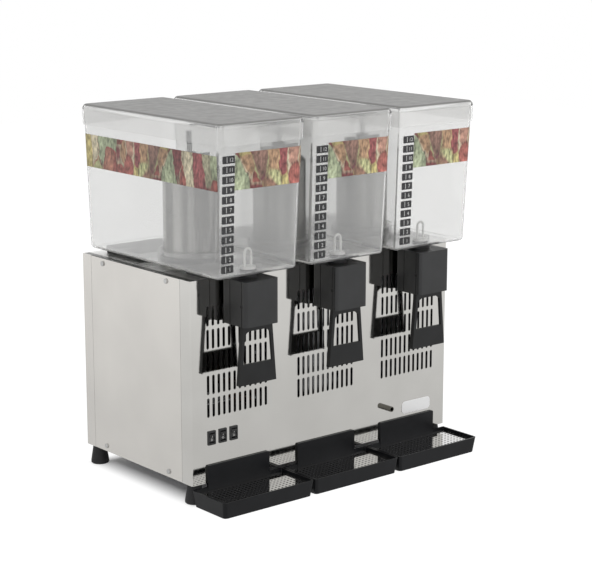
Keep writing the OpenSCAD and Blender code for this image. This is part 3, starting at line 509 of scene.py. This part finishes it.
# Blank plate
# A thin satin aluminium plate with rounded corners, stuck to the front sheet low at the right.
# Its face is slightly raised and quite plain.
plate_low = Vector((0.177, panel_y - 0.0008, 0.068))
plate_high = Vector((0.2446, panel_y - 0.0001, 0.0905))
plate_corner, plate_rim, plate_rise = 0.007, 0.0012, 0.0003


def start_block(name, low, high):
    """Adds a box between two corners and opens it in edit mode."""
    low, high = Vector(low), Vector(high)
    bpy.ops.object.select_all(action="DESELECT")
    bpy.ops.mesh.primitive_cube_add(size=1, location=(low + high) / 2)
    block = bpy.context.object
    block.name = name
    block.scale = high - low
    bpy.ops.object.transform_apply(location=True, rotation=True, scale=True)
    bpy.ops.object.mode_set(mode="EDIT")
    return block


def round_corners(axis, offset, segments):
    """Rounds the edges of the piece in edit mode that run along an axis."""
    choose("EDGE", lambda mid, way: abs(getattr(way, axis)) > mostly)
    bpy.ops.mesh.bevel(offset=offset, segments=segments, profile=0.5, affect="EDGES")


satin_plate = worked_metal(
    "satin_plate", (0.80, 0.80, 0.80), (0.88, 0.88, 0.88),
    rough=(0.34, 0.44), grain=240, stretch=(0.05, 1, 1), height=0.00003,
)
plate = start_block("blank_plate", plate_low, plate_high)
round_corners("y", plate_corner, segments=8)
choose("FACE", lambda mid, way: way.y < -mostly)
bpy.ops.mesh.inset(thickness=plate_rim, depth=0)
bpy.ops.transform.translate(value=(0, -plate_rise, 0))
close_piece(plate, satin_plate, "cabinet", "polished_steel")

# Cooling columns and stirrers
# Deep drawn stainless domes that stand up through the bowls, chilled by the copper coil inside.
# A magnet in the dome turns a grey paddle with a black knob on its top. A seal rings its foot.
SIDES = ("left", "middle", "right")
reflection_streak_low, reflection_streak_high = 0.40, 0.60
knob_z, knob_fade = 0.566, 0.001
# The domes' colour is painted with dark and light upright streaks: painted reflections of the room on the
# polished steel.
drawn_steel = worked_metal(
    "drawn_steel", (0.135, 0.133, 0.126), (0.39, 0.385, 0.37),
    rough=(0.20, 0.26), grain=90, stretch=(1, 1, 0.02), height=0.00001, cloud=(55, 2.0, (1, 1, 0.015)),
)
drawn_colour = drawn_steel.node_tree.nodes["Principled BSDF"].inputs["Base Color"]
drawn_ramp = drawn_colour.links[0].from_node.color_ramp
drawn_ramp.elements[0].position = reflection_streak_low
drawn_ramp.elements[1].position = reflection_streak_high
grey_paddle = moulded_plastic("grey_paddle", (0.62, 0.62, 0.61), (0.70, 0.70, 0.69), rough=0.4)
darken_past(grey_paddle, "Z", knob_z, knob_fade, share=0.04)
for side in SIDES:
    dome = take_copy(f"evaporator_{side}", f"cooling_dome_{side}")
    close_piece(dome, drawn_steel, "cabinet", "polished_steel", f"evaporator_{side}")
    paddle = take_copy(f"stirrer_{side}", f"stirrer_paddle_{side}")
    round_edges(turn=50, offset=0.0005)
    close_piece(paddle, grey_paddle, f"stirrer_{side}", "grey_plastic", f"stirrer_{side}")
    dress(zinc_sheet, f"drive_magnet_{side}")
seal_rubber = moulded_rubber("seal_rubber", (0.085, 0.085, 0.083), (0.12, 0.12, 0.117))
dress(seal_rubber, "bowl_seals")

# Bowls
# Clear polycarbonate boxes with rounded corners, moulded with a slight taper and open at the top.
# A collar rings the column and an outlet pipe goes down into the tap.
station_x = {side: middle_x(f"tap_body_{side}") for side in SIDES}
bowl_high, bowl_wall, bowl_corner, foot_round = 0.2345, 0.003, 0.008, 0.006
side_lean, front_lean, back_lean = 0.003, 0.012, 0.0085
mouth_low, mouth_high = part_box("bowl_left")
mouth_z = mouth_high.z
bowl_foot_z = mouth_z - bowl_high
foot_low = Vector((mouth_low.x + side_lean, mouth_low.y + front_lean, bowl_foot_z))
foot_high = Vector((mouth_high.x - side_lean, mouth_high.y - back_lean, mouth_z))
bowl_mid = (foot_low + foot_high) / 2
column_behind, outlet_ahead = 0.120, 0.028
column_at = (bowl_mid.x, panel_y + column_behind)
outlet_at = (bowl_mid.x, panel_y - outlet_ahead)
collar_radius, column_hole_radius, collar_high = 0.0541, 0.0501, 0.016
outlet_radius, bore_radius, outlet_end_z = 0.011, 0.009, 0.292
joint_sink, cut_past = 0.001, 0.012
clearness, hue_drift = 0.88, 0.006
hair = 0.0001


def clear_moulding(name, shade, rough):
    """Clear polycarbonate with a slight milky haze and wiping marks that dull it in places."""
    finish, tree, shader, place = open_finish(name)
    shader.inputs["Transmission Weight"].default_value = clearness
    shader.inputs["IOR"].default_value = 1.5
    low = [value - hue_drift for value in shade]
    high = [value + hue_drift for value in shade]
    cloud = mottle(tree, place, scale=9)
    wipes = mottle(tree, place, scale=30, detail=4.0, stretch=(1, 1, 0.3))
    tree.links.new(tint(tree, cloud, low, high), shader.inputs["Base Color"])
    tree.links.new(spread(tree, wipes, low=rough * 0.4, high=rough * 1.6), shader.inputs["Roughness"])
    return finish


def round_level(z, offset, segments):
    """Rounds the edges of the piece in edit mode that lie at one height."""
    choose("EDGE", lambda mid, way: abs(mid.z - z) < hair)
    bpy.ops.mesh.bevel(offset=offset, segments=segments, profile=0.5, affect="EDGES")


def bowl_skin(name):
    """Makes the outside of the left bowl, open at the top, in edit mode."""
    skin = start_block(name, foot_low, foot_high)
    leans = ((-side_lean, 0, 0), (side_lean, 0, 0), (0, -front_lean, 0), (0, back_lean, 0))
    for lean in map(Vector, leans):
        choose("VERT", lambda place, way: place.z > bowl_mid.z and (place - bowl_mid).dot(lean) > 0)
        bpy.ops.transform.translate(value=lean)
    round_corners("z", bowl_corner, segments=8)
    round_level(bowl_foot_z, foot_round, segments=5)
    choose("FACE", lambda mid, way: way.z > mostly)
    bpy.ops.mesh.delete(type="FACE")
    return skin


def apply_modifier(piece, kind, **values):
    """Adds one modifier with its values and applies it."""
    bpy.ops.object.select_all(action="DESELECT")
    piece.select_set(True)
    bpy.context.view_layer.objects.active = piece
    step = piece.modifiers.new(kind.lower(), kind)
    for name, value in values.items():
        setattr(step, name, value)
    bpy.ops.object.modifier_apply(modifier=step.name)


def cut_or_join(piece, tool, operation):
    """Cuts a tool's shape out of a piece, or joins it on, and takes the tool away."""
    apply_modifier(piece, "BOOLEAN", operation=operation, object=tool, solver="EXACT")
    bpy.data.objects.remove(tool)


def start_round(name, radius, place, low_z, high_z, sides=48):
    """Adds an upright cylinder between two heights."""
    bpy.ops.object.select_all(action="DESELECT")
    bpy.ops.mesh.primitive_cylinder_add(
        vertices=sides, radius=radius, depth=high_z - low_z, location=(*place, (low_z + high_z) / 2)
    )
    tool = bpy.context.object
    tool.name = name
    bpy.ops.object.transform_apply(location=True, rotation=True, scale=True)
    return tool


def copy_along(piece, name, shift):
    """Copies a finished mesh, with its own data, to another place in the row."""
    twin = piece.copy()
    twin.data = piece.data.copy()
    twin.name = name
    twin.parent = None
    twin.data.transform(Matrix.Translation((shift, 0, 0)))
    scene.collection.objects.link(twin)
    return twin


def set_in_row(piece, name, finish, body, slot, node=None):
    """Copies the left station's piece to the other two and closes all three."""
    row = {"left": piece}
    for side in SIDES[1:]:
        row[side] = copy_along(piece, f"{name}_{side}", station_x[side] - bowl_mid.x)
    for side in SIDES:
        nodes = [f"{node}_{side}"] if node else []
        close_piece(row[side], finish, f"{body}_{side}", slot, *nodes)


clear_polycarbonate = clear_moulding("clear_polycarbonate", (0.988, 0.988, 0.982), rough=0.015)
bowl = bowl_skin("clear_bowl_left")
bpy.ops.object.mode_set(mode="OBJECT")
apply_modifier(bowl, "SOLIDIFY", thickness=bowl_wall, offset=-1.0, use_even_offset=True, use_rim=True)
foot_inside_z = bowl_foot_z + joint_sink
collar_top_z = bowl_foot_z + collar_high
collar = start_round("collar", collar_radius, column_at, foot_inside_z, collar_top_z, sides=64)
cut_or_join(bowl, collar, "UNION")
outlet = start_round("outlet", outlet_radius, outlet_at, outlet_end_z, foot_inside_z)
cut_or_join(bowl, outlet, "UNION")
column_hole = start_round(
    "column_hole", column_hole_radius, column_at, bowl_foot_z - cut_past, collar_top_z + cut_past, sides=64
)
cut_or_join(bowl, column_hole, "DIFFERENCE")
outlet_bore = start_round(
    "outlet_bore", bore_radius, outlet_at, outlet_end_z - cut_past, bowl_foot_z + bowl_wall + cut_past
)
cut_or_join(bowl, outlet_bore, "DIFFERENCE")
set_in_row(bowl, "clear_bowl", clear_polycarbonate, "bowl", "clear_plastic", "bowl")

# Printed bands
# A film round the upper part of the bowls, printed with soft upright patches in fruit colours.
# It covers the front of each bowl right of the level strip, and the free side of the left bowl.
band_low_z, front_band_z, side_band_z = 0.517, 0.575, 0.5715
film_t, film_depth, corner_gap = 0.0002, 0.002, 0.004
strip_inset, strip_gap, label_wide = 0.0065, 0.001, 0.0235
# Places of a mix node's colour sockets
mix_a, mix_b, mix_out = 6, 7, 2


def printed_film(name):
    """A film with soft upright patches of fruit colours, streaked and lighter in their middles."""
    finish, tree, shader, place = open_finish(name)
    spot = place.node.outputs["UV"]
    warp = add_node(tree, "TexNoise", Scale=48.0, Detail=3.0)
    warp_reach = (0.013, 0.013, 0.0)
    bend = add_node(tree, "VectorMath", operation="MULTIPLY_ADD")
    bend.inputs[1].default_value = warp_reach
    tall = add_node(tree, "Mapping", Scale=(1.0, 0.42, 1.0))
    tree.links.new(spot, warp.inputs["Vector"])
    tree.links.new(warp.outputs["Color"], bend.inputs[0])
    tree.links.new(spot, bend.inputs[2])
    tree.links.new(bend.outputs[0], tall.inputs["Vector"])
    patches = add_node(tree, "TexVoronoi", feature="SMOOTH_F1", Scale=38.0, Randomness=0.85, Smoothness=0.3)
    tree.links.new(tall.outputs[0], patches.inputs["Vector"])
    pick = add_node(tree, "SeparateColor")
    tree.links.new(patches.outputs["Color"], pick.inputs[0])
    inks = [
        (0.25, 0.075, 0.075), (0.46, 0.39, 0.17), (0.33, 0.37, 0.24), (0.21, 0.080, 0.088),
        (0.54, 0.48, 0.34), (0.40, 0.25, 0.15), (0.33, 0.11, 0.09), (0.42, 0.42, 0.22),
    ]
    for channel in ("Red", "Green", "Blue"):
        swing = add_node(tree, "MapRange", From_Min=0.44, From_Max=0.56)
        tree.links.new(pick.outputs[channel], swing.inputs["Value"])
        blends = []
        for pair in zip(inks[::2], inks[1::2]):
            blend = add_node(tree, "Mix", data_type="RGBA")
            tree.links.new(swing.outputs["Result"], blend.inputs["Factor"])
            for socket, ink in zip((mix_a, mix_b), pair):
                if isinstance(ink, tuple):
                    blend.inputs[socket].default_value = (*ink, 1)
                else:
                    tree.links.new(ink, blend.inputs[socket])
            blends.append(blend.outputs[mix_out])
        inks = blends
    streaks = mottle(tree, spot, scale=210, detail=4.0, stretch=(1.0, 0.45, 1.0))
    middle = add_node(tree, "MapRange", From_Min=0.15, From_Max=0.75, To_Min=1.2, To_Max=0.62)
    tree.links.new(patches.outputs["Distance"], middle.inputs["Value"])
    shade = add_node(tree, "Math", operation="MULTIPLY")
    tree.links.new(middle.outputs[0], shade.inputs[0])
    tree.links.new(spread(tree, streaks, low=0.4, high=1.65), shade.inputs[1])
    print_shade = add_node(tree, "VectorMath", operation="SCALE")
    tree.links.new(inks[0], print_shade.inputs[0])
    tree.links.new(shade.outputs[0], print_shade.inputs["Scale"])
    tree.links.new(print_shade.outputs[0], shader.inputs["Base Color"])
    tree.links.new(spread(tree, warp.outputs["Fac"], low=0.3, high=0.45), shader.inputs["Roughness"])
    return finish


def film_piece(name, high_z, keep):
    """Cuts a strip of film out of the bowl's outside and sets it just off the wall."""
    film = bowl_skin(name)
    for plane_z, up in ((band_low_z, -1), (high_z, 1)):
        bpy.ops.mesh.select_all(action="SELECT")
        bpy.ops.mesh.bisect(plane_co=(0, 0, plane_z), plane_no=(0, 0, up), clear_outer=True)
    for plane_co, plane_no in keep:
        bpy.ops.mesh.select_all(action="SELECT")
        bpy.ops.mesh.bisect(plane_co=plane_co, plane_no=plane_no, clear_outer=True)
    bpy.ops.object.mode_set(mode="OBJECT")
    apply_modifier(film, "SOLIDIFY", thickness=film_t, offset=1.0, use_even_offset=True, use_rim=True)
    bpy.ops.object.mode_set(mode="EDIT")
    bpy.ops.mesh.select_all(action="SELECT")
    bpy.ops.uv.cube_project(cube_size=1.0, correct_aspect=False)
    bpy.ops.object.mode_set(mode="OBJECT")
    return film


def front_face_y(z):
    """Place of the bowl's leaning front face at a height."""
    return foot_low.y - front_lean * (z - bowl_foot_z) / (mouth_z - bowl_foot_z)


def side_face_x(z):
    """Place of the left bowl's leaning left side at a height."""
    return foot_low.x - side_lean * (z - bowl_foot_z) / (mouth_z - bowl_foot_z)


fruit_film = printed_film("fruit_film")
strip_end = side_face_x(front_band_z) + strip_inset + label_wide
front_keep = (
    ((strip_end + strip_gap, 0, 0), (-1, 0, 0)),
    ((0, front_face_y(band_low_z) + film_depth, 0), (0, 1, 0)),
)
front_film = film_piece("front_film_left", front_band_z, front_keep)
set_in_row(front_film, "front_film", fruit_film, "bowl", "clear_plastic")
side_keep = (
    ((side_face_x(band_low_z) + film_depth, 0, 0), (1, 0, 0)),
    ((0, front_face_y(band_low_z) + corner_gap, 0), (0, -1, 0)),
)
side_film = film_piece("side_film_left", side_band_z, side_keep)
close_piece(side_film, fruit_film, "bowl_left", "clear_plastic")

# Level strips
# Twelve black labels, stuck one above the other up the left of each bowl's front. Each is printed
# with a pale line and a number for the litres.
label_count = 12
label_low_z, label_pitch, label_high = 0.3877, 0.01565, 0.0118
label_corner, label_proud, label_sunk = 0.0012, 0.0004, 0.0002
line_left, line_right, line_short, line_corner = 0.0078, 0.0088, 0.0015, 0.0003
print_proud, print_sunk = 0.0006, 0.0003
figure_left, figure_foot, figure_high, figure_t = 0.0165, 0.0028, 0.0085, 0.00015
black_label = painted_metal("black_label", (0.012, 0.012, 0.013), (0.022, 0.022, 0.024), rough=0.3)
label_print = painted_metal("label_print", (0.42, 0.42, 0.42), (0.55, 0.55, 0.54), rough=0.4)


def join_pieces(pieces, name):
    """Joins loose pieces into one object."""
    bpy.ops.object.select_all(action="DESELECT")
    for part in pieces:
        part.select_set(True)
    bpy.context.view_layer.objects.active = pieces[0]
    bpy.ops.object.join()
    joined = bpy.context.object
    joined.name = name
    return joined


label_blocks, print_blocks = [], []
for number in range(label_count):
    low_z = label_low_z + number * label_pitch
    high_z = low_z + label_high
    face_y = front_face_y(low_z + label_high / 2)
    left_x = side_face_x(low_z + label_high / 2) + strip_inset
    tile = start_block(
        f"label_{number}",
        (left_x, face_y - label_proud, low_z),
        (left_x + label_wide, face_y + label_sunk, high_z),
    )
    round_corners("y", label_corner, segments=3)
    bpy.ops.object.mode_set(mode="OBJECT")
    label_blocks.append(tile)
    line = start_block(
        f"line_{number}",
        (left_x + line_left, face_y - print_proud, low_z + line_short),
        (left_x + line_right, face_y - print_sunk, high_z - line_short),
    )
    round_corners("y", line_corner, segments=2)
    bpy.ops.object.mode_set(mode="OBJECT")
    print_blocks.append(line)
    bpy.ops.object.select_all(action="DESELECT")
    figure_at = (left_x + figure_left, face_y - print_proud, low_z + figure_foot)
    bpy.ops.object.text_add(location=figure_at, rotation=(math.radians(90), 0, 0))
    figure = bpy.context.object
    figure.data.body = str(number + 1)
    figure.data.size = figure_high
    figure.data.align_x = "CENTER"
    figure.data.extrude = figure_t
    bpy.ops.object.convert(target="MESH")
    bpy.ops.object.transform_apply(location=True, rotation=True, scale=True)
    print_blocks.append(bpy.context.object)
labels = join_pieces(label_blocks, "level_labels_left")
figures = join_pieces(print_blocks, "level_figures_left")
set_in_row(labels, "level_labels", black_label, "bowl", "black_plastic")
set_in_row(figures, "level_figures", label_print, "bowl", "white_plastic")

# Lids
# Clear caps with a deep skirt over the bowl's mouth and well rounded upper edges. Only their top is
# smoked and dull, and a ledge inside rests on the bowl's wall.
lid_low, lid_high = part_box("lid_left")
lid_t, skirt_t, ledge_wide = 0.0032, 0.0024, 0.0034
lid_corner, lid_round = 0.0108, 0.008
clear_below, smoked_above = 0.0038, 0.0022


def mix_in(tree, share, target, other, kind, first, out):
    """Blends another source into a shader's socket by a share."""
    mix = add_node(tree, "Mix", data_type=kind)
    tree.links.new(target.links[0].from_socket, mix.inputs[first])
    tree.links.new(other, mix.inputs[first + 1])
    tree.links.new(share, mix.inputs["Factor"])
    tree.links.new(mix.outputs[out], target)


def smoked_top(name, low, high):
    """Hazy plastic that turns dull grey at its top."""
    finish = clear_moulding(name, (0.988, 0.986, 0.98), rough=0.06)
    tree = finish.node_tree
    shader = tree.nodes["Principled BSDF"]
    place = add_node(tree, "TexCoord").outputs["Object"]
    height = add_node(tree, "SeparateXYZ")
    clear_z, smoked_z = lid_high.z - clear_below, lid_high.z - smoked_above
    smoked = add_node(tree, "MapRange", From_Min=clear_z, From_Max=smoked_z)
    tree.links.new(place, height.inputs[0])
    tree.links.new(height.outputs["Z"], smoked.inputs["Value"])
    share = smoked.outputs[0]
    grey = tint(tree, mottle(tree, place, scale=12), low, high)
    dull = spread(tree, mottle(tree, place, scale=60), low=0.36, high=0.46)
    mix_in(tree, share, shader.inputs["Base Color"], grey, "RGBA", mix_a, mix_out)
    mix_in(tree, share, shader.inputs["Roughness"], dull, "FLOAT", first=2, out=0)
    through = add_node(tree, "MapRange", To_Min=clearness, To_Max=0.0)
    tree.links.new(share, through.inputs["Value"])
    tree.links.new(through.outputs[0], shader.inputs["Transmission Weight"])
    return finish


smoke_plastic = smoked_top("smoke_plastic", (0.132, 0.130, 0.125), (0.138, 0.136, 0.131))
lid = start_block("smoke_lid_left", lid_low, lid_high)
round_corners("z", lid_corner, segments=10)
round_level(lid_high.z, lid_round, segments=8)
choose("FACE", lambda mid, way: way.z < -mostly)
bpy.ops.mesh.inset(thickness=skirt_t, depth=0)
bpy.ops.mesh.extrude_region_move(TRANSFORM_OT_translate={"value": (0, 0, mouth_z - lid_low.z)})
bpy.ops.mesh.inset(thickness=ledge_wide, depth=0)
bpy.ops.mesh.extrude_region_move(TRANSFORM_OT_translate={"value": (0, 0, lid_high.z - lid_t - mouth_z)})
bpy.ops.object.mode_set(mode="OBJECT")
set_in_row(lid, "smoke_lid", smoke_plastic, "lid", "smoke_plastic", "lid")

# Taps
# Black moulded housings pushed on the outlet pipes, with two seams down each side. A push lever
# hangs in each on a cross pin, has a window for the stream, and lifts a white plunger against a spring.
tap_half = 0.034
seams_ahead = (0.0265, 0.0560)
seam_half, seam_deep, seam_inside = 0.0006, 0.0009, 0.0005
white_plastic = moulded_plastic(
    "white_plastic", (0.72, 0.72, 0.70), (0.80, 0.80, 0.78), rough=0.3, grain=500
)
lever_plastic = moulded_plastic(
    "lever_plastic", (0.0055, 0.0058, 0.006), (0.009, 0.0094, 0.0098), rough=0.36
)
lever_plastic.node_tree.nodes["Principled BSDF"].inputs["Specular IOR Level"].default_value = 0.3
for side in SIDES:
    housing = take_copy(f"tap_body_{side}", f"tap_housing_{side}")
    round_edges(turn=50, offset=0.0012, segments=3)
    for seam_y in (panel_y - ahead for ahead in seams_ahead):
        for edge_y in (seam_y - seam_half, seam_y + seam_half):
            bpy.ops.mesh.select_all(action="SELECT")
            bpy.ops.mesh.bisect(plane_co=(0, edge_y, 0), plane_no=(0, 1, 0))
        choose(
            "FACE",
            lambda mid, way: abs(mid.y - seam_y) < seam_inside
            and abs(abs(mid.x - station_x[side]) - tap_half) < near
            and abs(way.x) > mostly,
        )
        bpy.ops.mesh.extrude_region_shrink_fatten(TRANSFORM_OT_shrink_fatten={"value": -seam_deep})
    close_piece(housing, black_plastic, f"bowl_{side}", "black_plastic", f"tap_body_{side}")
    handle = take_copy(f"lever_{side}", f"push_lever_{side}")
    round_edges(turn=50, offset=0.0007, segments=3)
    close_piece(handle, lever_plastic, f"lever_{side}", "black_plastic", f"lever_{side}")
    stem = take_copy(f"plunger_{side}", f"white_plunger_{side}")
    close_piece(stem, white_plastic, f"plunger_{side}", "white_plastic", f"plunger_{side}")
    dress(black_rubber, f"plunger_seal_{side}")
    coil = take_copy(f"valve_spring_{side}", f"valve_coil_{side}")
    close_piece(coil, bright_zinc, f"bowl_{side}", "zinc_screw", f"valve_spring_{side}")
    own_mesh(coil)

# Drip trays and grids
# Shallow black moulded trays with a splash back, standing on the worktop against the front sheet.
# A bright perforated steel grid lies on posts in each.
grid_low, grid_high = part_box("grid_left")
grid_corner, grid_round = 0.0055, 0.0004
hole_pitch, hole_radius, grid_margin = 0.0075, 0.0018, 0.0065
punch_past = 0.002
tray_plastic = moulded_plastic(
    "tray_plastic", (0.0034, 0.0037, 0.0046), (0.0062, 0.0066, 0.0080), rough=0.34
)
tray_plastic.node_tree.nodes["Principled BSDF"].inputs["Specular IOR Level"].default_value = 0.22
for side in SIDES:
    basin = take_copy(f"tray_{side}", f"drip_tray_{side}")
    round_edges(turn=50, offset=0.0009, segments=3)
    close_piece(basin, tray_plastic, f"tray_{side}", "black_plastic", f"tray_{side}")
grid_steel = worked_metal(
    "grid_steel", (0.66, 0.655, 0.645), (0.74, 0.735, 0.725),
    rough=(0.06, 0.12), grain=200, stretch=(0.1, 1, 1), height=0.00002,
)
grid = start_block("steel_grid_left", grid_low, grid_high)
round_corners("z", grid_corner, segments=5)
round_level(grid_high.z, grid_round, segments=2)
bpy.ops.object.mode_set(mode="OBJECT")
holes_across = int((grid_high.x - grid_low.x - 2 * grid_margin) / hole_pitch)
holes_deep = int((grid_high.y - grid_low.y - 2 * grid_margin) / hole_pitch)
first_hole = (
    (grid_low.x + grid_high.x - (holes_across - 1) * hole_pitch) / 2,
    (grid_low.y + grid_high.y - (holes_deep - 1) * hole_pitch) / 2,
)
punch_low_z, punch_high_z = grid_low.z - punch_past, grid_high.z + punch_past
punch = start_round("punch", hole_radius, first_hole, punch_low_z, punch_high_z, sides=10)
for hole_count, hole_step in ((holes_across, (hole_pitch, 0, 0)), (holes_deep, (0, hole_pitch, 0))):
    apply_modifier(
        punch, "ARRAY", count=hole_count, use_relative_offset=False, use_constant_offset=True,
        constant_offset_displace=hole_step,
    )
cut_or_join(grid, punch, "DIFFERENCE")
set_in_row(grid, "steel_grid", grid_steel, "grid", "polished_steel", "grid")
